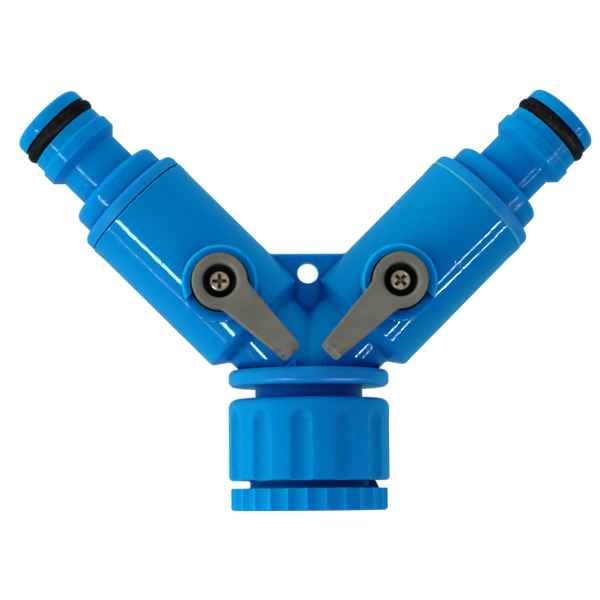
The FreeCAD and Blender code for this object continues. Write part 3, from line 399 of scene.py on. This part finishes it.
class Turned:
    """A closed skin built from loops of points round +Z."""

    def __init__(self, count):
        self.bm = bmesh.new()
        self.count = count
        self.angles = [math.tau * k / count for k in range(count)]

    def corner(self, radius, height, angle):
        return self.bm.verts.new((radius * math.cos(angle), radius * math.sin(angle), height))

    def loop(self, ring):
        """The loop's points. A ring is (radius, height) or a function of the angle that gives them."""
        shape = ring if callable(ring) else (lambda angle: ring)
        return [self.corner(*shape(angle), angle) for angle in self.angles]

    def join(self, lower, upper):
        for k in range(self.count):
            after = (k + 1) % self.count
            self.bm.faces.new((lower[k], lower[after], upper[after], upper[k]))

    def strip(self, rings):
        loops = [self.loop(ring) for ring in rings]
        for lower, upper in zip(loops, loops[1:]):
            self.join(lower, upper)

    def thread(self, radius, low, high, pitch=PITCH):
        """A wall between two heights, with faces that wind with the pitch and a radius(height, angle)."""
        turns = math.ceil((high - low) / pitch) + 2
        rows = turns * THREAD_STEPS
        columns = []
        for k, angle in enumerate(self.angles):
            start = low - pitch + pitch * k / self.count
            column = []
            for row in range(rows + 1):
                height = min(max(start + pitch * row / THREAD_STEPS, low), high)
                column.append(self.corner(radius(height, angle), height, angle))
            columns.append(column)
        for k in range(self.count):
            lead = THREAD_STEPS if k + 1 == self.count else 0
            here, after = columns[k], columns[(k + 1) % self.count]
            for row in range(rows - lead):
                self.bm.faces.new((here[row], after[row + lead], after[row + lead + 1], here[row + 1]))

    def mesh(self, name, material, sharp=35):
        """The skin as a mesh in metres, with doubled points merged. Edges over sharp degrees stay sharp."""
        bmesh.ops.remove_doubles(self.bm, verts=self.bm.verts, dist=0.0005)
        bmesh.ops.dissolve_degenerate(self.bm, edges=self.bm.edges, dist=0.0005)
        bmesh.ops.recalc_face_normals(self.bm, faces=self.bm.faces)
        bmesh.ops.scale(self.bm, vec=(MM, MM, MM), verts=self.bm.verts)
        mesh = bpy.data.meshes.new(name)
        self.bm.to_mesh(mesh)
        self.bm.free()
        mesh.materials.append(material)
        mesh.shade_smooth()
        mesh.set_sharp_from_angle(angle=math.radians(sharp))
        return mesh


def add_piece(name, mesh, body, replaced):
    piece = bpy.data.objects.new(name, mesh)
    scene.collection.objects.link(piece)
    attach(piece, body)
    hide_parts(*replaced)


def join_meshes(name, meshes):
    bm = bmesh.new()
    for mesh in meshes:
        bm.from_mesh(mesh)
    joined = meshes[0].copy()
    joined.name = name
    bm.to_mesh(joined)
    bm.free()
    return joined


def winding(inner, outer, height, angle, outer_at, pitch=PITCH):
    """A thread's radius. It swings from inner to outer, and is outer at the height outer_at at angle 0."""
    wave = math.cos(math.tau * ((height - outer_at) / pitch - angle / math.tau))
    return (inner + outer) / 2 + (outer - inner) / 2 * wave


def softer_of(first, second, reach):
    """The smaller of two numbers, blended where they are within reach of each other."""
    near = max(reach - abs(first - second), 0) / reach
    return min(first, second) - near * near * reach / 4


def corner_rings(radius, height, rounding, upward, steps=6):
    """Rings round an outer corner, from the wall to the face: the upper face at upward 1, the lower at -1."""
    rings = []
    for step in range(steps + 1):
        turn = math.pi / 2 * step / steps
        rings.append((
            radius - rounding * (1 - math.cos(turn)),
            height - upward * rounding * (1 - math.sin(turn)),
        ))
    return rings


def groove(radius, half, depth):
    """A round groove's own radius and how far its middle lies from the axis, for grooves cut to a depth.

    The radius is the distance from the axis to the line that joins the groove's edges.
    """
    hollow = (half * half + depth * depth) / (2 * depth)
    return hollow, radius - depth + hollow


def from_nearest(angle, count, phase):
    """The angle from the nearest of count grooves to a point."""
    step = math.tau / count
    return (angle - math.radians(phase) + step / 2) % step - step / 2


def thread_radius(height, angle):
    return winding(THREAD_ROOT, THREAD_CREST, height, angle, THREAD_START)


def male_radius(height, angle):
    """The thread starts at the right, where a tab joins it to the ring, with a plain relief under it."""
    chamfer = THREAD_ROOT - CHAMFER_DEPTH + (ADAPTOR_TOP - height) * CHAMFER_SLOPE
    below = THREAD_START + PITCH * (angle / math.tau - 0.5) - height
    radius = min(THREAD_RELIEF if below > 0 else thread_radius(height, angle), chamfer)
    to_fillet = RING_TOP + FILLET_HEIGHT - height
    if to_fillet > 0:
        radius = max(radius, THREAD_RELIEF + to_fillet ** 2 * FILLET_CURVE)
    if angle < TAB_END and height < TAB_TOP:
        fade = min((TAB_END - angle) / TAB_FADE, 1)
        tab = TAB_RADIUS + (TAB_TOP - height) * TAB_SLOPE
        radius = max(radius, THREAD_RELIEF + fade * (tab - THREAD_RELIEF))
    return radius


def tap_radius(height, angle):
    return max(winding(TAP_CREST, TAP_ROOT, height, angle, TAP_START), TAP_ROOT + 0.1 - height)


def adaptor_spigot():
    """The male thread outside, and inside the waterway, the washer's pocket and the tap thread."""
    skin = Turned(POINTS_ROUND)
    skin.thread(male_radius, SPIGOT_FOOT, ADAPTOR_TOP)
    skin.strip([
        lambda angle: (male_radius(ADAPTOR_TOP, angle), ADAPTOR_TOP),
        (WATERWAY + 1.9, ADAPTOR_TOP), (WATERWAY + 0.4, ADAPTOR_TOP),
        (WATERWAY + 0.12, ADAPTOR_TOP - 0.08), (WATERWAY, ADAPTOR_TOP - 0.3),
        (WATERWAY, POCKET_TOP + 0.3), (WATERWAY + 0.1, POCKET_TOP + 0.08), (WATERWAY + 0.3, POCKET_TOP),
        (POCKET_RADIUS - 0.2, POCKET_TOP), (POCKET_RADIUS, POCKET_TOP - 0.1), (POCKET_RADIUS, TAP_TOP + 0.1),
        lambda angle: (tap_radius(TAP_TOP, angle), TAP_TOP),
    ])
    skin.thread(tap_radius, 0.0, TAP_TOP)
    skin.strip([
        lambda angle: (tap_radius(0.0, angle), 0.0),
        (SPIGOT_RADIUS, 0.0), (SPIGOT_RADIUS, SPIGOT_FOOT),
        lambda angle: (male_radius(SPIGOT_FOOT, angle), SPIGOT_FOOT),
    ])
    return skin.mesh("thread_adaptor_spigot", MATERIALS["matte_blue"])


def adaptor_ring():
    """The ring with its scallops, and with the cusps between them worn round at the top."""
    half_step = math.pi / SCALLOPS
    hollow, centre = groove(
        RING_RADIUS * math.cos(half_step), RING_RADIUS * math.sin(half_step), SCALLOP_DEPTH)

    def scallop(angle):
        turned = from_nearest(angle, SCALLOPS, SCALLOP_PHASE)
        return centre * math.cos(turned) - math.sqrt(hollow ** 2 - (centre * math.sin(turned)) ** 2)

    def rim(limit, height, worn=0.0):
        return lambda angle: (softer_of(scallop(angle), limit, CUSP_ROUNDING) - worn, height)

    skin = Turned(SCALLOPS * POINTS_PER_SCALLOP)
    lower = corner_rings(LOWER_EDGE_RADIUS, 0.0, LOWER_EDGE_ROUNDING, -1)
    profile = [(RING_HOLE, 0.0), (RING_FACE, 0.0)]
    profile += [rim(radius, height) for radius, height in reversed(lower[1:])]
    profile += [rim(RING_RADIUS, height) for height in (1.5, 2.2, 3.1, 4.0)]
    profile += [rim(RING_RADIUS, RING_TOP - drop, worn) for drop, worn in WORN_TOP]
    profile += [(RING_FACE, RING_TOP), (RING_HOLE, RING_TOP)]
    skin.strip(profile + [profile[0]])
    return skin.mesh("thread_adaptor_ring", MATERIALS["matte_blue"], 50)


def nut_sleeve():
    """The nut's inside: its chamfer, its thread, the plain bore over it and the lip."""
    def bore(height, angle):
        chamfer = NUT_CHAMFER_RADIUS - (height - NUT_BOTTOM) * NUT_CHAMFER_SLOPE
        end = PLAIN_BORE if height > NUT_THREAD_TOP - 0.2 else 0
        return max(thread_radius(height, angle) + NUT_THREAD_PLAY, chamfer, end)

    skin = Turned(POINTS_ROUND)
    skin.thread(bore, NUT_BOTTOM, NUT_THREAD_TOP)
    skin.strip([
        lambda angle: (bore(NUT_THREAD_TOP, angle), NUT_THREAD_TOP),
        (PLAIN_BORE, NUT_THREAD_TOP + 0.2), (PLAIN_BORE, NUT_LIP - 0.3), (PLAIN_BORE - 0.3, NUT_LIP),
        (LIP_BORE + 0.2, NUT_LIP), (LIP_BORE, NUT_LIP + 0.2),
        (LIP_BORE, NUT_TOP - 0.3), (LIP_BORE + 0.08, NUT_TOP - 0.08), (LIP_BORE + 0.3, NUT_TOP),
        (SLEEVE_RADIUS, NUT_TOP), (SLEEVE_RADIUS, NUT_BOTTOM),
        lambda angle: (bore(NUT_BOTTOM, angle), NUT_BOTTOM),
    ])
    return skin.mesh("swivel_nut_sleeve", MATERIALS["matte_blue"])


def nut_coat():
    """The nut's outside, with flutes that are open at the bottom and end in a round top."""
    half = FLUTE_WIDTH / 2
    hollow, centre = groove(math.sqrt(NUT_RADIUS ** 2 - half ** 2), half, FLUTE_DEPTH)
    straight_end = FLUTE_TOP - half

    def flute(height, angle):
        turned = from_nearest(angle, FLUTES, FLUTE_PHASE)
        above = max(height - straight_end, 0)
        reach = math.sqrt(max(hollow ** 2 - above ** 2, 0))
        across = reach ** 2 - (centre * math.sin(turned)) ** 2
        return centre * math.cos(turned) - math.sqrt(across) if across > 0 else math.inf

    def wall(limit, height):
        return lambda angle: (softer_of(flute(height, angle), limit, FLUTE_ROUNDING), height)

    low = corner_rings(NUT_RADIUS, NUT_BOTTOM, LOWER_ROUNDING, -1)
    high = corner_rings(NUT_RADIUS, NUT_TOP, UPPER_ROUNDING, 1, 8)
    # The rings are close together round the flutes' tops and far apart below them.
    heights = [NUT_BOTTOM + 1.0 + step * COARSE_STEP for step in range(1, 7)]
    while heights[-1] < NUT_TOP - 2.1:
        heights.append(heights[-1] + FINE_STEP)
    skin = Turned(FLUTES * POINTS_PER_FLUTE)
    profile = [(COAT_HOLE, NUT_BOTTOM)]
    profile += [wall(radius, height) for radius, height in reversed(low)]
    profile += [wall(NUT_RADIUS, height) for height in heights]
    profile += [wall(radius, height) for radius, height in high]
    profile += [(COAT_HOLE, NUT_TOP)]
    skin.strip(profile + [profile[0]])
    return skin.mesh("swivel_nut_coat", MATERIALS["matte_blue"], 50)


def recess(radius, angle):
    """The depth of the cross recess at a point of the head."""
    deepest = (CROSS_HUB - radius) * HUB_SLOPE
    for arm in (0.0, math.pi / 2):
        along, across = abs(radius * math.cos(angle - arm)), abs(radius * math.sin(angle - arm))
        slot = min((CROSS_WIDTH / 2 - across) * WALL_SLOPE, (CROSS_LENGTH / 2 - along) * END_SLOPE)
        deepest = max(deepest, slot)
    return min(max(deepest, 0.0), CROSS_DEPTH)


def screw_skin(name, tip, top, arms):
    """A screw from its tip up to its domed head, whose cross recess is turned by the angle of its arms."""
    seat = top - HEAD_HEIGHT

    def crown(radius):
        drop = HEAD_DOME * (radius / HEAD_TOP_RADIUS) ** 2
        return lambda angle: (radius, top - drop - recess(radius, angle - arms))

    def shank(height, angle):
        thread = winding(SCREW_ROOT, SCREW_CREST, height, angle, tip, SCREW_PITCH)
        return min(thread, POINT_RADIUS + (height - tip) * POINT_SLOPE)

    skin = Turned(POINTS_ROUND_SCREW)
    rings = [crown(HEAD_TOP_RADIUS * step / CROWN_STEPS) for step in range(CROWN_STEPS + 1)]
    for step in range(1, EDGE_STEPS + 1):
        turn = math.pi / 2 * step / EDGE_STEPS
        rings.append((
            HEAD_TOP_RADIUS + (HEAD_RADIUS - HEAD_TOP_RADIUS) * math.sin(turn),
            top - HEAD_DOME - HEAD_DROP * (1 - math.cos(turn)),
        ))
    rings += [(HEAD_RADIUS, seat + HEAD_EDGE), (HEAD_RADIUS - HEAD_EDGE, seat), (SCREW_CREST, seat)]
    rings.append(lambda angle: (shank(seat - RUNOUT, angle), seat - RUNOUT))
    skin.strip(rings)
    skin.thread(shank, tip, seat - RUNOUT, SCREW_PITCH)
    skin.strip([lambda angle: (shank(tip, angle), tip), (0.0, tip)])
    return skin.mesh(name, MATERIALS["screw_steel"], 50)


adaptor = join_meshes("thread_adaptor_skin", [adaptor_spigot(), adaptor_ring()])
add_piece("scalloped_adaptor", adaptor, "thread_adaptor", ["thread_adaptor"])
nut = join_meshes("swivel_nut_skin", [nut_sleeve(), nut_coat()])
add_piece("fluted_nut", nut, "swivel_nut", ["swivel_nut"])
for side, arms_turned in (("left", 0), ("right", 45)):
    low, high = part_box(f"{side}_lever_screw")
    screw = screw_skin(f"{side}_screw_skin", -high[1] / MM, -low[1] / MM, math.radians(arms_turned))
    middle = (Vector(low) + Vector(high)) / 2
    screw.transform(Matrix.Rotation(math.pi / 2, 4, "X"))
    screw.transform(Matrix.Translation((middle.x, 0, middle.z)))
    add_piece(f"{side}_cross_screw", screw, f"{side}_valve", [f"{side}_lever_screw"])


# ---------------------------------------------------------------- studio

# Lengths are in metres. The floor lies just under the adaptor when it is screwed all the way out.
FLOOR, FLOOR_REACH = -0.010, 6.0
MIDDLE, LEFT_ARM, RIGHT_ARM = (0, 0, 0.045), (-0.03, 0, 0.055), (0.03, 0, 0.055)
WARM, COOL, ICY = (1.0, 1.0, 0.68), (0.82, 0.78, 1.0), (0.6, 0.92, 1.0)
SOFT_SIZE, SOFT_DISTANCE, STRIP_DISTANCE = (0.8, 0.8), 1.0, 0.45
# Soft lights light the object and don't show in its gloss: name, direction, watts and colour.
SOFT_LIGHTS = (
    ("top", (0, -0.2, 1), 4.3, WARM),
    ("top_right", (0.8, -0.3, 0.6), 0.7, WARM),
    ("left", (-1, -0.3, 0), 8.4, (1.0, 1.0, 0.65)),
    ("right_rim", (1, 0.5, -0.5), 3.2, (1.0, 1.0, 0.5)),
    ("low_left", (-0.7, -0.4, -0.7), 2.3, COOL),
)
# Strips show only in its gloss, as lines along the arms: name, arm, direction, size, watts, degrees turned.
STRIPS = (
    ("left_strip", LEFT_ARM, (-0.517, -0.682, -0.517), (0.048, 0.20), 1.20, 45),
    ("left_line", LEFT_ARM, (-0.66, -0.34, -0.66), (0.005, 0.24), 0.10, 45),
    ("right_strip", RIGHT_ARM, (0.57, -0.60, -0.57), (0.012, 0.34), 0.90, -45),
    ("right_line", RIGHT_ARM, (0.66, -0.36, -0.66), (0.011, 0.34), 0.75, -45),
)
# What the room shows to the camera, sheds on the object, and shows in its gloss, which is dim in front.
SEEN_WHITE, ROOM_COLOUR, GLOSS_COLOUR = (1, 1, 1, 1), (0.90, 0.77, 1.0, 1), (0.2, 0.85, 1.0, 1)
ROOM_STRENGTH, GLOSS_FRONT, GLOSS_BEHIND = 0.58, 0.05, 0.45


def add_light(name, target, direction, distance, size, power, colour, shows_in_gloss, turned=0.0):
    """An area light that looks at the target from a direction. Its size is (across, along)."""
    data = bpy.data.lights.new(name, "AREA")
    data.shape = "RECTANGLE"
    data.size, data.size_y = size
    data.energy = power
    data.color = colour
    light = bpy.data.objects.new(name, data)
    scene.collection.objects.link(light)
    away = Vector(direction).normalized()
    light.location = Vector(target) + away * distance
    light.rotation_mode = "QUATERNION"
    light.rotation_quaternion = away.to_track_quat("Z", "Y") @ Quaternion((0, 0, 1), math.radians(turned))
    light.visible_camera = False
    light.visible_glossy = shows_in_gloss
    light.visible_diffuse = not shows_in_gloss


def lay_floor():
    far = FLOOR_REACH
    mesh = bpy.data.meshes.new("floor")
    mesh.from_pydata(
        [(-far, -far, FLOOR), (far, -far, FLOOR), (far, far, FLOOR), (-far, far, FLOOR)], [], [(0, 1, 2, 3)])
    floor = bpy.data.objects.new("floor", mesh)
    scene.collection.objects.link(floor)
    paper = Look("floor_paper")
    tone = paper.blend(paper.noise(0.002, 4.0), (0.93, 0.93, 0.93, 1), (0.97, 0.97, 0.97, 1))
    mesh.materials.append(paper.finish(
        Base_Color=tone, Roughness=0.9, Specular_IOR_Level=0.1,
        Emission_Color=(1, 1, 1, 1), Emission_Strength=1.0,
    ))
    floor.visible_glossy = False
    floor.visible_diffuse = False
    floor.visible_shadow = False


def light_room():
    world = bpy.data.worlds.new("studio")
    scene.world = world
    world.use_nodes = True
    world.node_tree.nodes.clear()
    room = Nodes(world.node_tree)
    direction = room.node("ShaderNodeTexCoord").outputs["Generated"]
    behind = room.node("ShaderNodeMapRange", {
        "Value": room.node("ShaderNodeSeparateXYZ", {"Vector": direction}).outputs["Y"],
        "From Min": 0.0, "From Max": 0.8, "To Min": GLOSS_FRONT, "To Max": GLOSS_BEHIND,
    }).outputs["Result"]
    seen, lit, mirrored = (
        room.node("ShaderNodeBackground", {"Color": colour, "Strength": strength}).outputs[0]
        for colour, strength in ((SEEN_WHITE, 1.0), (ROOM_COLOUR, ROOM_STRENGTH), (GLOSS_COLOUR, behind))
    )
    ray = room.node("ShaderNodeLightPath").outputs
    unseen = room.node("ShaderNodeMixShader", {"Fac": ray["Is Glossy Ray"], 1: lit, 2: mirrored}).outputs[0]
    shown = room.node("ShaderNodeMixShader", {"Fac": ray["Is Camera Ray"], 1: unseen, 2: seen}).outputs[0]
    room.node("ShaderNodeOutputWorld", {"Surface": shown})


def place_camera():
    data = bpy.data.cameras.new("photo_camera")
    data.sensor_width = 36.0
    data.lens = 135.0
    data.clip_start, data.clip_end = 0.01, 50.0
    view = bpy.data.objects.new("photo_camera", data)
    scene.collection.objects.link(view)
    eye, target = Vector((-0.0118, -0.453, 0.00282)), Vector((-0.0016, 0.0, 0.04242))
    roll = Quaternion((0, 0, 1), math.radians(-0.51))
    view.location = eye
    view.rotation_mode = "QUATERNION"
    view.rotation_quaternion = (target - eye).to_track_quat("-Z", "Y") @ roll
    scene.camera = view


lay_floor()
light_room()
for name, direction, power, colour in SOFT_LIGHTS:
    add_light(name, MIDDLE, direction, SOFT_DISTANCE, SOFT_SIZE, power, colour, False)
for name, arm, direction, size, power, turned in STRIPS:
    add_light(name, arm, direction, STRIP_DISTANCE, size, power, ICY, True, turned)
place_camera()
scene.view_settings.view_transform = "Standard"
